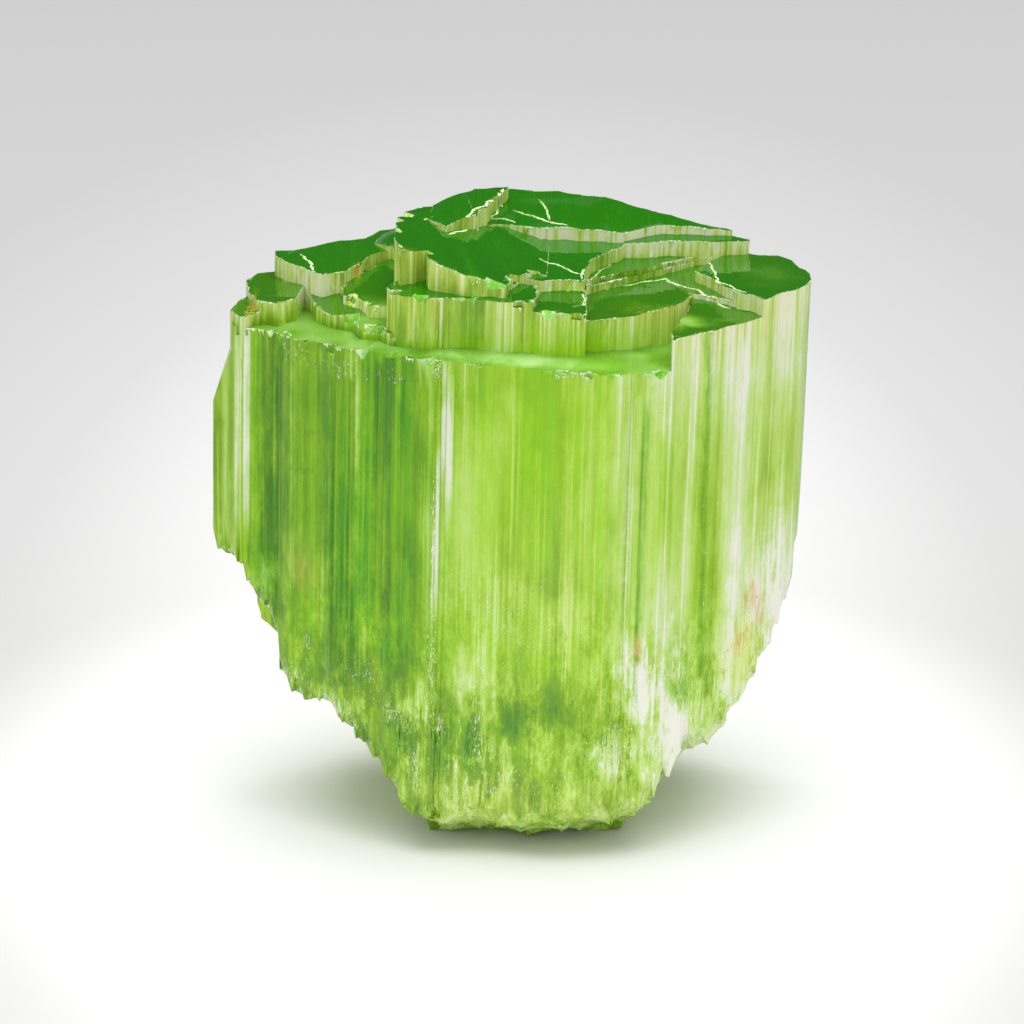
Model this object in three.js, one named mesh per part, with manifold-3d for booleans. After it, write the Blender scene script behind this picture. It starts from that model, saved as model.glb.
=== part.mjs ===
// Tremolite crystal: one stout, flattened prism, broken at both ends.
// The head is a stair of near-level parting treads with short risers between them,
// the sides are ribbed along the prism, and the root is a stepped fracture that
// narrows to a small flat facet, on which the crystal stands.
// Units mm, +Z up, origin at the middle of the underside of the bounding box.
import * as THREE from 'three';
import { mergeVertices } from 'three/addons/utils/BufferGeometryUtils.js';
import Module from 'manifold-3d';

const wasm = await Module();
wasm.setup();

// Driving dimensions
const LEAN = 0.024; // sideways shift per mm of height: the prism leans to +X as it rises
const HEAD = 36; // above the highest tread
const SHELF = 29.5; // lowest level of the head
const RIB_WIDTH = 0.75; // mean width of the ribs on the sides
const RIB_DEPTH = 0.11; // how far a rib joint stands in or out
const STEP_RIB_WIDTH = 0.6; // the same for the risers of the head
const STEP_RIB_DEPTH = 0.09;
const CHIP_SPACING = 1.5; // along the rims of the rougher treads
const CHIP_SIZE = 0.6;
const SPLINTER_X = 1.3; // splinters of the broken root
const SPLINTER_Y = 1.6;
const SPLINTER_JITTER = 0.32; // share of a splinter by which its corners wander
const SPLINTER_RELIEF = 0.8; // how unevenly the splinters break
const BASE = { left: -4.3, right: 6.9, front: -4.9, back: 4.8 }; // resting facet
const BASE_BOW = 0.03; // rounds the front and back edges of the facet
const ROOT_SLOPE = { left: 0.88, right: 0.95, front: 0.6, back: 1.3 };
const ROOT_ROUNDING = 0.12; // how much higher the root breaks at its corners

// Corners of the prism seen from above, anticlockwise from the left tip
const OUTLINE = [
  [-17.1, 0.6], [-17.0, -0.5], [-16.2, -1.3], [-15.3, -2.2], [-14.4, -2.5], [-13.2, -3.2],
  [-12.2, -4.3], [-11.0, -4.8], [-10.2, -5.6], [-8.8, -6.3], [-7.9, -6.5], [-6.8, -7.2],
  [-5.5, -7.7], [-4.4, -8.4], [-3.1, -8.3], [-2.2, -8.8], [-0.6, -8.5], [0.8, -8.9],
  [2.3, -9.3], [3.7, -9.1], [5.1, -9.2], [6.2, -8.7], [7.4, -8.6], [8.3, -8.0],
  [9.0, -7.3], [9.9, -6.7], [10.8, -6.4], [11.7, -5.6], [12.9, -4.9], [13.8, -4.1],
  [14.5, -3.1], [15.4, -2.3], [16.1, -1.3], [16.4, -0.4], [16.4, 0.8], [15.9, 2.1],
  [15.6, 3.7], [14.9, 4.8], [13.8, 5.0], [12.9, 5.6], [11.9, 6.3], [10.4, 6.8],
  [8.8, 7.8], [7.4, 8.5], [6.3, 9.1], [5.1, 9.9], [3.7, 10.0], [2.3, 10.5],
  [0.9, 10.3], [-0.3, 10.5], [-1.8, 10.1], [-3.1, 9.6], [-4.4, 9.7], [-5.6, 9.0],
  [-6.9, 9.2], [-8.0, 8.7], [-8.8, 7.2], [-10.4, 6.7], [-11.4, 5.9], [-12.8, 4.9],
  [-13.8, 4.8], [-14.8, 4.4], [-15.3, 3.2], [-15.7, 2.0], [-16.6, 1.4],
];

// Treads of the head. Each is the top of a prism: its plan, a point on its top plane
// and the plane's slopes along X and Y. Where plans overlap the higher top wins.
// The rims of the chipped ones have crumbled.
const TREADS = [
  { at: [0, 0, SHELF], slope: [0, 0], chipped: true,
    plan: [[-15.9, -20], [-3.4, -20], [-3.4, 20], [-15.9, 20]] },
  { at: [-3.5, 0, SHELF], slope: [-0.06, 0], chipped: true,
    plan: [[-3.6, -20], [20, -20], [20, 20], [-3.6, 20]] },
  // Left shoulder, falling steeply to the tip
  { at: [-15.9, 0, 28.2], slope: [3.2, 0], plan: [[-18, -4], [-15.7, -4], [-15.7, 4], [-18, 4]] },
  // Left corner: three small treads rising to the back-left one
  { at: [-15.6, 0, 30.1], slope: [0.1, 0],
    plan: [[-16.0, -0.8], [-15.4, -2.4], [-14.2, -1.4], [-14.2, 3], [-15.7, 1.0]] },
  { at: [-14, 0, 30.8], slope: [0.03, -0.02],
    plan: [[-15.4, 3.8], [-15.1, 0.6], [-14.4, -1.4], [-13.5, -2.0], [-12.3, -1.0],
      [-12.0, 1.5], [-12.4, 6], [-15.2, 6]] },
  { at: [-11, 4, 31.9], slope: [0, 0.02],
    plan: [[-13.8, 3.8], [-12.7, 2.2], [-11.7, 1.1], [-10.9, 0.3], [-9.8, 0.9], [-9.0, 2.2],
      [-8.4, 4.0], [-6.5, 5.5], [-6.5, 12], [-13.9, 12]] },
  // Broken steps between the left corner and the middle
  { at: [-8, 0, 31.2], slope: [0.1, 0.06], chipped: true,
    plan: [[-10.0, 1.5], [-9.7, -0.9], [-8.8, -1.7], [-8.3, -3.0], [-6.9, -3.3], [-6, 0],
      [-6.5, 5], [-9, 3]] },
  { at: [-9, -2, 30.4], slope: [0.06, 0.1], chipped: true,
    plan: [[-11.7, 0.8], [-11.2, -1.0], [-10.4, -2.3], [-9.2, -2.9], [-8.7, -4.3], [-7.6, -4.6],
      [-6.9, -5.6], [-5.6, -5.0], [-5, 0], [-8, 2]] },
  // Narrow ledges in front of the middle
  { at: [-3, -5, 32.3], slope: [-0.05, 0.03], chipped: true,
    plan: [[-7.2, -4.6], [-6.4, -5.8], [-4.5, -6.0], [-2.7, -5.7], [-1.0, -6.1], [0.8, -6.0],
      [1.2, -3], [-6, -1]] },
  { at: [2.5, -4, 31.6], slope: [-0.02, 0.03], chipped: true,
    plan: [[0.6, -5.9], [1.5, -6.2], [2.7, -6.1], [3.7, -6.4], [3.8, -0.5], [0.8, -1]] },
  // Big middle tread, highest at its left end
  { at: [-4, 0, 33.9], slope: [-0.28, 0.02], chipped: true,
    plan: [[-6.8, 1.9], [-6.9, -1.9], [-6.5, -4.1], [-5.7, -3.6], [-5.1, -2.9], [-4.9, -4.5],
      [-3.7, -5.0], [-2.6, -5.5], [-1.6, -5.2], [-0.7, -5.4], [-0.3, -3.6], [0.6, -1.9],
      [1.6, -1.5], [1.8, 5.4], [-0.6, 6.4], [-1.8, 5], [-3.2, 2.9], [-4.2, 1.8], [-5, 3.2]] },
  { at: [2.5, 0, 32.3], slope: [-0.02, 0.01],
    plan: [[-0.6, -3.4], [0.4, -2.1], [1.3, -2.5], [2.5, -2.2], [3.6, -2.3], [3.7, 0.0],
      [4.1, 1.7], [4.9, 2.9], [5.8, 4.1], [6.4, 6], [-1, 6], [-2, 0]] },
  // Back tread, and the slipped wedge at its right end
  { at: [4, 5.2, 33.0], slope: [-0.045, 0.15],
    plan: [[-1.9, 5.2], [-0.6, 5.5], [0.8, 5.3], [2.3, 5.5], [4.2, 5.3], [6.1, 5.1], [7.1, 5.8],
      [8.3, 6.4], [10.2, 6.3], [12.0, 6.0], [14, 6.4], [14, 13], [-2.2, 13]] },
  { at: [9, 5.5, 32.4], slope: [0, 0.05],
    plan: [[6.0, 4.7], [7.4, 4.8], [8.6, 5.2], [10.2, 5.1], [11.6, 5.0], [13.2, 5.1],
      [14, 9], [6, 9]] },
  // Highest corner, in three strips, and the tread behind it
  { at: [-5.5, 4, 34.3], slope: [0.1, 0.02], chipped: true,
    plan: [[-6.9, 1.8], [-5.9, 2.4], [-5.0, 3.0], [-4.7, 4.0], [-4.4, 6.0], [-4.9, 5.3],
      [-5.6, 5.5], [-6.4, 4.8], [-6.7, 3.2]] },
  { at: [-4, 4, 34.4], slope: [0.02, 0.05],
    plan: [[-5.2, 3.1], [-4.1, 1.5], [-3.3, 2.8], [-2.4, 3.6], [-2.0, 5.4], [-2.3, 8.2],
      [-3.4, 7.4], [-4.3, 6.3], [-4.9, 5.3]] },
  { at: [-2, 6, 34.5], slope: [-0.1, 0.03],
    plan: [[-2.6, 4.0], [-1.8, 4.8], [-1.6, 6.5], [-0.6, 9.2], [-1.4, 8.9], [-2.6, 8.2],
      [-2.9, 6.0]] },
  { at: [-5, 8, 32.4], slope: [0.15, -0.05],
    plan: [[-8.2, 6], [-6.6, 3.4], [-5, 4], [0, 6], [0.2, 13], [-7.6, 13]] },
  // Right of the middle: an upper triangle, a tilted strip and the leaf-shaped tread
  { at: [6, 4, 31.5], slope: [-0.02, 0.03],
    plan: [[3.5, 0.3], [4.8, 1.2], [6.0, 2.2], [7.9, 3.5], [9.7, 5.0], [13, 5.0], [14, 9],
      [3, 9]] },
  { at: [6, 2, 31.2], slope: [0.16, -0.2],
    plan: [[3.5, -0.9], [6.6, 1.9], [9.2, 3.9], [10.2, 4.9], [5, 5], [3.5, 2]] },
  { at: [6, -1, 30.9], slope: [-0.01, 0.02],
    plan: [[3.5, -5.2], [4.4, -5.1], [5.2, -4.7], [6.1, -4.5], [6.9, -3.8], [8.2, -2.9],
      [9.2, -1.7], [9.8, -0.5], [11.5, 2], [11, 6], [3.5, 3]] },
  // Right end
  { at: [10.5, 0, 31.0], slope: [0.03, -0.03],
    plan: [[9.6, -0.4], [11.0, -1.6], [12.3, -2.7], [13.5, -1], [12, 6], [7, 5], [7.0, 3.8]] },
  { at: [11, -4, 30.7], slope: [0.04, 0.02],
    plan: [[8.4, -6.6], [8.5, -9], [16, -9], [17, 0], [9.9, 0], [9.5, -2.1], [9.0, -4.2]] },
  { at: [14, 0, 31.7], slope: [0.02, -0.02],
    plan: [[10.0, 1.8], [10.9, 0.2], [11.5, -1.6], [12.1, -2.8], [13.0, -3.4], [13.6, -5],
      [17.5, -4], [17.5, 6], [12.6, 6.2], [11.2, 4.2]] },
];

// Side steps of the broken root, in X and Z, from the wall down to the resting facet
const ROOT_LEFT = [
  [-17.4, 15.9], [-16.4, 15.4], [-15.3, 15.1], [-15.0, 13.6], [-14.4, 13.0], [-13.9, 12.4],
  [-13.2, 11.6], [-13.1, 8.9], [-12.6, 8.1], [-10.4, 7.7], [-9.8, 7.1], [-9.5, 6.4],
  [-8.4, 5.4], [-7.4, 3.9], [-6.2, 2.7], [-5.1, 1.1], [-4.3, 0.0],
];
const ROOT_RIGHT = [
  [17.0, 17.5], [16.1, 15.9], [16.0, 13.9], [15.7, 12.1], [15.0, 11.2], [14.9, 10.2],
  [14.2, 9.4], [14.1, 8.3], [13.0, 7.5], [12.5, 6.9], [12.3, 5.8], [11.7, 5.0],
  [10.3, 4.3], [9.0, 3.1], [7.8, 1.6], [6.7, 0.0],
];

// Repeatable pseudo-random numbers between 0 and 1
function dice(seed) {
  let state = seed;
  return () => {
    state = (state * 1103515245 + 12345) % 2147483648;
    return state / 2147483648;
  };
}

// Divides every side of a plan into ribs and moves their joints in or out
function ribbed(plan, width, depth, seed) {
  const random = dice(seed);
  return plan.flatMap(([x, y], i) => {
    const [nextX, nextY] = plan[(i + 1) % plan.length];
    const length = Math.hypot(nextX - x, nextY - y);
    const out = [(nextY - y) / length, (x - nextX) / length];
    const ribs = length > 6 ? 1 : Math.max(1, Math.round(length / width));
    const points = [[x, y]];
    for (let k = 1; k < ribs; k += 1) {
      const along = (k + 0.5 * (random() - 0.5)) / ribs;
      const shift = (2 * random() - 1) * depth;
      points.push([
        x + along * (nextX - x) + shift * out[0],
        y + along * (nextY - y) + shift * out[1],
      ]);
    }
    return points;
  });
}

function toSolid(geometry) {
  geometry.deleteAttribute('normal');
  geometry.deleteAttribute('uv');
  const merged = mergeVertices(geometry, 1e-5);
  return new wasm.Manifold(new wasm.Mesh({
    numProp: 3,
    vertProperties: new Float32Array(merged.attributes.position.array),
    triVerts: new Uint32Array(merged.index.array),
  }));
}

// Upright prism over a plan, from the floor height to the height given by top(x, y)
function prism(plan, floor, top) {
  const shape = new THREE.Shape(plan.map(([x, y]) => new THREE.Vector2(x, y)));
  const geometry = new THREE.ExtrudeGeometry(shape, { depth: 1, bevelEnabled: false });
  const position = geometry.attributes.position;
  for (let i = 0; i < position.count; i += 1) {
    const onTop = position.getZ(i) > 0.5;
    position.setZ(i, onTop ? top(position.getX(i), position.getY(i)) : floor);
  }
  return toSolid(geometry);
}

function treadTop({ at, slope }) {
  return (x, y) => at[2] + slope[0] * (x - at[0]) + slope[1] * (y - at[1]);
}

// Everything under a line of side steps, as a bar running from the front as far as back
function sideCut(steps, back) {
  const outer = steps[0][0] * 1.5;
  const below = [[outer, -5], [outer, steps[0][1] + 4], ...steps, [steps.at(-1)[0], -5]];
  const shape = new THREE.Shape(below.map(([x, z]) => new THREE.Vector2(x, z)));
  const geometry = new THREE.ExtrudeGeometry(shape, { depth: 20, bevelEnabled: false });
  geometry.rotateX(Math.PI / 2);
  geometry.translate(0, back, 0);
  return toSolid(geometry);
}

// Height of the broken underside before it splinters; negative over the resting facet
function rootHeight(x, y) {
  const middle = (BASE.left + BASE.right) / 2;
  const bow = Math.min(2, BASE_BOW * (x - middle) ** 2);
  const front = ROOT_SLOPE.front * (BASE.front + bow - y);
  const back = ROOT_SLOPE.back * (y - BASE.back + bow);
  const side = Math.max(ROOT_SLOPE.left * (BASE.left - x), ROOT_SLOPE.right * (x - BASE.right));
  const face = Math.max(front, back);
  const corner = Math.max(0, Math.min(side, face + 1));
  return Math.max(side, face) + ROOT_ROUNDING * corner;
}

// Splinters torn from the root: a wandering grid of cells, each with its own slanting top
function splinters() {
  const random = dice(20);
  const columns = 28;
  const rows = 14;
  const corner = [];
  for (let i = 0; i <= columns; i += 1) {
    corner.push([]);
    for (let j = 0; j <= rows; j += 1) {
      const stagger = i % 2 ? 0.35 : 0;
      corner[i].push([
        SPLINTER_X * (i - columns / 2 + 2 * SPLINTER_JITTER * (random() - 0.5)),
        SPLINTER_Y * (j - rows / 2 + stagger + 2 * SPLINTER_JITTER * (random() - 0.5)),
      ]);
    }
  }
  const solids = [];
  for (let i = 0; i < columns; i += 1) {
    for (let j = 0; j < rows; j += 1) {
      const cell = [corner[i][j], corner[i + 1][j], corner[i + 1][j + 1], corner[i][j + 1]];
      const x = cell.reduce((sum, point) => sum + point[0], 0) / 4;
      const y = cell.reduce((sum, point) => sum + point[1], 0) / 4;
      const height = rootHeight(x, y) + SPLINTER_RELIEF * (random() - 0.6);
      const steepness = 0.6 + 0.5 * random();
      const slopeX = steepness * (rootHeight(x + 0.5, y) - rootHeight(x - 0.5, y))
        + 0.4 * (random() - 0.5);
      const slopeY = steepness * (rootHeight(x, y + 0.5) - rootHeight(x, y - 0.5))
        + 0.4 * (random() - 0.5);
      if (height < 0.15) continue;
      const grown = cell.map((point) => [
        point[0] + 0.02 * Math.sign(point[0] - x),
        point[1] + 0.02 * Math.sign(point[1] - y),
      ]);
      const top = (px, py) => Math.max(0.05, height + slopeX * (px - x) + slopeY * (py - y));
      solids.push(prism(grown, -5, top));
    }
  }
  return wasm.Manifold.union(solids);
}

// Small wedges broken out of the rim of one tread
function rimChips(plan, top, seed) {
  const random = dice(seed);
  return plan.flatMap(([x, y], i) => {
    const [nextX, nextY] = plan[(i + 1) % plan.length];
    const length = Math.hypot(nextX - x, nextY - y);
    const chips = [];
    const onRim = length < 6 && Math.hypot(x / 17, y / 10) < 1.15;
    for (let at = random() * CHIP_SPACING; onRim && at < length; at += CHIP_SPACING) {
      const chipX = x + (nextX - x) * at / length;
      const chipY = y + (nextY - y) * at / length;
      const size = CHIP_SIZE * (0.4 + 0.9 * random());
      const chip = new THREE.BoxGeometry(size * 1.6, size, size);
      chip.rotateX(Math.PI * random());
      chip.rotateY(Math.PI * random());
      chip.rotateZ(Math.PI * random());
      chip.translate(chipX, chipY, top(chipX, chipY) + 0.25 * size);
      chips.push(toSolid(chip));
      at += CHIP_SPACING * random();
    }
    return chips;
  });
}

// The whole crystal leans a little to the right
function lean(geometry) {
  const position = geometry.attributes.position;
  for (let i = 0; i < position.count; i += 1) {
    position.setX(i, position.getX(i) + LEAN * (position.getZ(i) - 18));
  }
}

function crystalGeometry() {
  const outline = ribbed(OUTLINE, RIB_WIDTH, RIB_DEPTH, 7);
  const body = prism(outline, 0, () => HEAD);
  const treads = TREADS.map((tread, i) => {
    const top = treadTop(tread);
    const block = prism(ribbed(tread.plan, STEP_RIB_WIDTH, STEP_RIB_DEPTH, 31 + i), -1, top);
    if (!tread.chipped) return block;
    const rims = [...rimChips(tread.plan, top, 61 + i), ...rimChips(OUTLINE, top, 99)];
    return block.subtract(wasm.Manifold.union(rims));
  });
  const head = wasm.Manifold.union(treads);
  const root = wasm.Manifold.union([
    sideCut(ROOT_LEFT, 4.3),
    sideCut(ROOT_RIGHT, 4.7),
    splinters(),
  ]);
  const solid = body.intersect(head).subtract(root);
  const mesh = solid.getMesh();
  const geometry = new THREE.BufferGeometry();
  geometry.setAttribute('position', new THREE.BufferAttribute(new Float32Array(mesh.vertProperties), 3));
  geometry.setIndex(new THREE.BufferAttribute(new Uint32Array(mesh.triVerts), 1));
  lean(geometry);
  geometry.computeBoundingBox();
  const { min, max } = geometry.boundingBox;
  geometry.translate(-(min.x + max.x) / 2, -(min.y + max.y) / 2, -min.z);
  const faceted = geometry.toNonIndexed();
  faceted.computeVertexNormals();
  return faceted;
}

const material = new THREE.MeshStandardMaterial({
  name: 'tremolite',
  color: 0x84c83c,
  roughness: 0.15,
  metalness: 0,
});

const crystal = new THREE.Mesh(crystalGeometry(), material);
crystal.name = 'tremolite_crystal';

const group = new THREE.Group();
group.name = 'tremolite_crystal_part';
group.add(crystal);

export default group;
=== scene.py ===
"""Looks of the tremolite crystal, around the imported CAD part. Metres, +Z up, front at -Y."""

import math

import bpy
import numpy as np
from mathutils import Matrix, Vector
from mathutils.bvhtree import BVHTree


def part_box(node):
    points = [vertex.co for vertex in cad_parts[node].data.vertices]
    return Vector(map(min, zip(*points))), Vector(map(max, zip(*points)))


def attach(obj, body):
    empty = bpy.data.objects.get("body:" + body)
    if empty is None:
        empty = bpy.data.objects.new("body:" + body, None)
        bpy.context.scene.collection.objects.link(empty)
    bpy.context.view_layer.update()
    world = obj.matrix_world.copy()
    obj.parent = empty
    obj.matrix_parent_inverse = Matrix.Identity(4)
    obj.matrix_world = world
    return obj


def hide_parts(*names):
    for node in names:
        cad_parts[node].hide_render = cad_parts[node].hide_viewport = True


MM = 0.001
NODE = "tremolite_crystal"

# Ribs along the prism, mm
LEAN = 0.024  # the prism leans to +X by this much per unit of height
FRONT_RIBS = (0.18, 1.1)  # narrowest and widest facet of the front and back walls
END_RIBS = (0.45, 2.6)  # and of the two ends
RIB_DEPTH = 0.028
LEVEL_HEIGHT = 2.2  # the ribs change from level to level
LEDGE_HEIGHT = 29.5  # the levels stop at the front ledge

# The broken root, mm
ROOT_HEIGHT = 17.0  # below it the surface is finer, to be worn
ROOT_GRAIN = 1.25
FACES_DOWN = (0.1, 0.45)  # from where a face counts as broken to where it is fully so
BREAK_SPREAD = 5  # how many rounds the broken faces spread to their neighbours
BREAK_ROUNDS, FOOT_ROUNDS = 30, 36  # of softening: every broken face, then the foot
LUMP, FINE_LUMP = (0.10, 1.6), (0.03, 0.7)  # depth and size
CREASE_DEPTH = 0.22
CREASE, FINE_CREASE = 1.5, 0.8  # sizes

# How much the treads swell and dip, and over what size, mm
SWELL, FINE_SWELL = (0.05, 2.6), (0.03, 1.1)

# How milky and how dark the front wall is along upright x. From 9.6 to 15.6 the milk is
# painted sheen of the bright surroundings; the dark at the right end is painted shade.
FRONT_TONES_SHEEN_AND_SHADE = [
    (-17.0, 0.30, 0.30), (-15.6, 0.30, 0.30), (-14.6, 0.18, 0.85), (-13.2, 0.10, 0.80),
    (-12.3, 0.18, 0.65), (-10.5, 0.10, 0.85), (-9.0, 0.08, 0.95), (-7.4, 0.05, 0.95),
    (-6.0, 0.06, 0.85), (-5.0, 0.22, 0.45), (-3.0, 0.46, 0.00), (-1.4, 0.34, 0.00),
    (0.6, 0.20, 0.00), (2.0, 0.20, 0.00), (3.8, 0.34, 0.00), (5.4, 0.44, 0.00),
    (6.6, 0.40, 0.10), (7.6, 0.52, 0.00), (8.6, 0.58, 0.05), (9.6, 0.70, 0.00),
    (11.2, 0.70, 0.05), (12.6, 0.72, 0.00), (14.2, 0.70, 0.00), (15.6, 0.66, 0.00),
    (16.1, 0.55, 0.45), (17.0, 0.50, 0.50),
]
# Pale streaks in the front wall, the three at the left end painted highlights: upright x
# from, to, height from, to, and how milky
PALE_STREAKS_AND_HIGHLIGHTS = [
    (-4.25, -4.02, 21.0, 29.6, 1.0),
    (-3.98, -3.62, 18.5, 29.3, 0.9),
    (-4.48, -4.30, 13.0, 24.5, 0.85),
    (-4.62, -4.52, 9.0, 20.5, 0.75),
    (-4.95, -4.80, 12.0, 29.0, 0.45),
    # Painted highlights along the left end of the front wall
    (-15.95, -15.65, 15.0, 30.0, 0.62),
    (-15.50, -15.15, 15.5, 30.0, 0.80),
    (-16.60, -16.40, 15.0, 29.0, 0.45),
    (-12.70, -12.45, 12.0, 30.0, 0.35),
    (-9.00, -8.80, 12.0, 29.0, 0.35),
    (-2.70, -1.60, 10.0, 27.0, 0.25),
    (-0.60, -0.30, 8.0, 25.0, 0.35),
    (1.10, 1.25, 10.0, 28.0, 0.30),
    (4.30, 4.75, 8.0, 22.0, 0.35),
    (5.70, 5.82, 6.0, 26.0, 0.60),
    (6.05, 6.15, 6.0, 27.0, 0.70),
    (6.45, 6.60, 6.0, 28.0, 0.60),
    (7.55, 7.75, 16.0, 30.0, 0.50),
    (8.60, 8.80, 8.0, 30.0, 0.50),
    (12.20, 12.35, 12.0, 30.0, 0.40),
    (14.20, 14.50, 14.0, 31.0, 0.40),
]
# Darker streaks, as above
DARK_STREAKS = [
    (10.30, 10.50, 8.5, 30.6, 0.6),
    (6.70, 6.95, 8.0, 27.0, 0.6),
    (5.10, 5.30, 9.0, 21.0, 0.4),
    (-5.60, -5.20, 15.0, 28.0, 0.4),
    (-14.90, -14.30, 16.0, 29.5, 0.5),
]
# Milky clouds: centre, radii in mm, and how milky
CLOUDS = [
    ((-1.0, -9.0, 15.5), (4.5, 5.0, 4.5), 0.50),
    ((3.0, -9.5, 15.0), (4.0, 5.0, 4.0), 0.46),
    ((-4.5, -8.8, 29.3), (0.9, 1.6, 0.7), 0.90),
    ((-9.6, -6.0, 28.5), (4.2, 3.4, 0.9), 0.52),
    ((7.2, -9.0, 11.0), (2.4, 4.0, 4.2), 0.84),
    ((5.6, -9.0, 6.0), (2.8, 4.0, 3.0), 0.72),
    ((14.9, -3.5, 16.2), (1.5, 3.0, 3.0), 0.85),
    ((13.3, -5.0, 10.6), (2.8, 4.0, 4.4), 0.80),
    ((12.5, 4.0, 17.0), (6.0, 7.0, 12.0), 0.45),
    ((-10.0, -6.0, 7.6), (5.0, 5.0, 2.6), 0.45),
    ((-14.0, -3.0, 14.6), (3.0, 4.0, 2.2), 0.50),
    ((-4.5, -8.0, 7.0), (3.0, 4.0, 5.0), 0.25),
    ((0.0, -6.0, 2.5), (11.0, 7.0, 3.6), 0.30),
    ((6.5, 5.0, 32.5), (14.0, 2.2, 1.8), 1.0),
    ((-11.8, 0.6, 31.0), (4.6, 3.6, 1.9), 0.90),
    ((-7.5, -4.5, 30.6), (4.0, 2.6, 1.8), 0.30),
    ((-12.0, 5.0, 18.0), (5.0, 5.0, 9.0), 0.35),
    ((0.0, 9.0, 12.0), (7.0, 4.0, 6.0), 0.50),
]
# Clearer, darker patches, as above
CLEARINGS = [
    ((-2.0, -6.6, 31.0), (2.6, 1.6, 4.0), 0.58),
    ((-3.6, -8.9, 12.4), (1.5, 3.0, 2.8), 0.30),
    ((7.0, 1.2, 31.2), (4.4, 2.6, 3.0), 0.55),
    ((-2.2, -9.2, 28.4), (3.0, 3.0, 3.0), 0.30),
    ((-3.0, -8.0, 7.0), (3.0, 4.0, 4.0), 0.62),
    ((9.9, -7.0, 11.0), (1.8, 3.0, 3.4), 0.45),
    ((1.5, -9.2, 8.6), (4.2, 4.0, 2.4), 0.55),
    ((-9.4, -6.2, 9.6), (3.4, 4.0, 1.8), 0.60),
    ((-7.2, -7.4, 7.2), (2.4, 4.0, 1.4), 0.40),
    ((4.6, -9.0, 7.0), (1.2, 4.0, 3.4), 0.40),
]
# Yellower zones, as above; the wide low one and the one in the middle are painted glow of
# light passing through the crystal
LIMES_AND_GLOW = [
    ((13.4, -4.8, 10.4), (2.2, 4.0, 3.4), 1.0),
    ((0.0, -8.0, 3.2), (12.0, 8.0, 3.6), 0.5),
    ((2.4, -9.5, 17.0), (5.0, 4.0, 7.0), 0.35),
    ((-11.8, -5.0, 16.4), (1.6, 3.0, 2.2), 0.7),
]
# Milky patches on the treads, as above
TREAD_CLOUDS = [
    ((0.4, -7.6, 29.5), (6.6, 2.6, 1.0), 0.70),
    ((5.0, -8.0, 29.3), (4.6, 2.2, 1.0), 0.34),
    ((9.8, -5.4, 30.5), (2.6, 1.8, 1.0), 0.55),
    ((-12.6, -1.6, 29.5), (1.8, 1.6, 0.8), 0.55),
    ((-8.0, -4.2, 30.6), (3.4, 3.4, 1.8), 0.38),
    ((-5.6, -4.4, 33.6), (1.4, 1.4, 1.2), 0.45),
    ((14.6, 0.0, 31.7), (2.2, 3.4, 1.0), 0.20),
]
# Yellower treads, as above
TREAD_LIMES = [
    ((7.2, -2.8, 30.9), (3.4, 2.6, 1.2), 0.55),
    ((5.0, -8.0, 29.3), (4.6, 2.2, 1.0), 1.0),
    ((9.8, -5.4, 30.5), (2.6, 1.8, 1.0), 0.9),
]
# Iron stains: centre, radii in mm, and strength
STAINS = [
    ((13.7, -4.9, 14.6), (0.55, 1.2, 1.1), 1.0),
    ((13.1, -5.4, 11.5), (1.0, 1.2, 0.5), 0.9),
    ((14.2, -4.2, 13.0), (0.35, 1.2, 1.6), 0.7),
    ((7.2, -9.2, 12.7), (0.45, 1.0, 0.8), 0.8),
    ((-14.35, -1.4, 30.2), (0.50, 1.5, 1.0), 1.0),
    ((-4.0, -6.6, 31.2), (0.16, 0.8, 1.5), 0.9),
    ((-3.2, -6.6, 30.6), (0.10, 0.8, 1.2), 0.6),
    ((14.35, -4.8, 30.6), (0.30, 0.9, 1.0), 0.8),
    ((-8.5, 1.5, 31.6), (0.35, 0.6, 0.6), 1.0),
    ((-11.4, -5.2, 16.1), (1.1, 1.0, 1.0), 0.45),
    ((8.0, -3.5, 30.9), (1.8, 1.4, 0.4), 0.30),
]
# Cracks seen on the treads: points (x, y) in mm, and how deep they go
CRACKS = [
    ([(-11.8, 3.6), (-11.2, 2.1), (-10.7, 0.2)], 1.4),
    ([(-3.5, 0.6), (-2.3, 2.6), (-0.9, 5.7), (-0.4, 7.0), (-0.1, 8.2)], 2.2),
    ([(-0.9, 5.7), (-0.2, 5.6), (0.4, 5.2)], 1.6),
    ([(0.2, 6.8), (1.4, 6.25), (2.3, 5.6), (3.4, 5.3)], 0.8),
    ([(1.8, 8.6), (2.2, 7.2), (2.4, 5.7)], 0.9),
    ([(6.0, 3.3), (5.2, 1.7), (4.3, -0.8), (4.1, -2.6)], 3.0),
    ([(4.1, -3.0), (4.1, -5.3)], 2.0),
    ([(1.7, 0.7), (2.6, 0.0), (4.0, -1.6)], 0.9),
    ([(5.4, -0.2), (7.0, 0.8), (8.9, 2.0), (9.9, 0.3), (11.2, -1.8), (12.4, -3.2)], 0.9),
    ([(11.2, 3.4), (11.9, -1.2), (13.1, -3.3)], 1.0),
]

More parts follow.
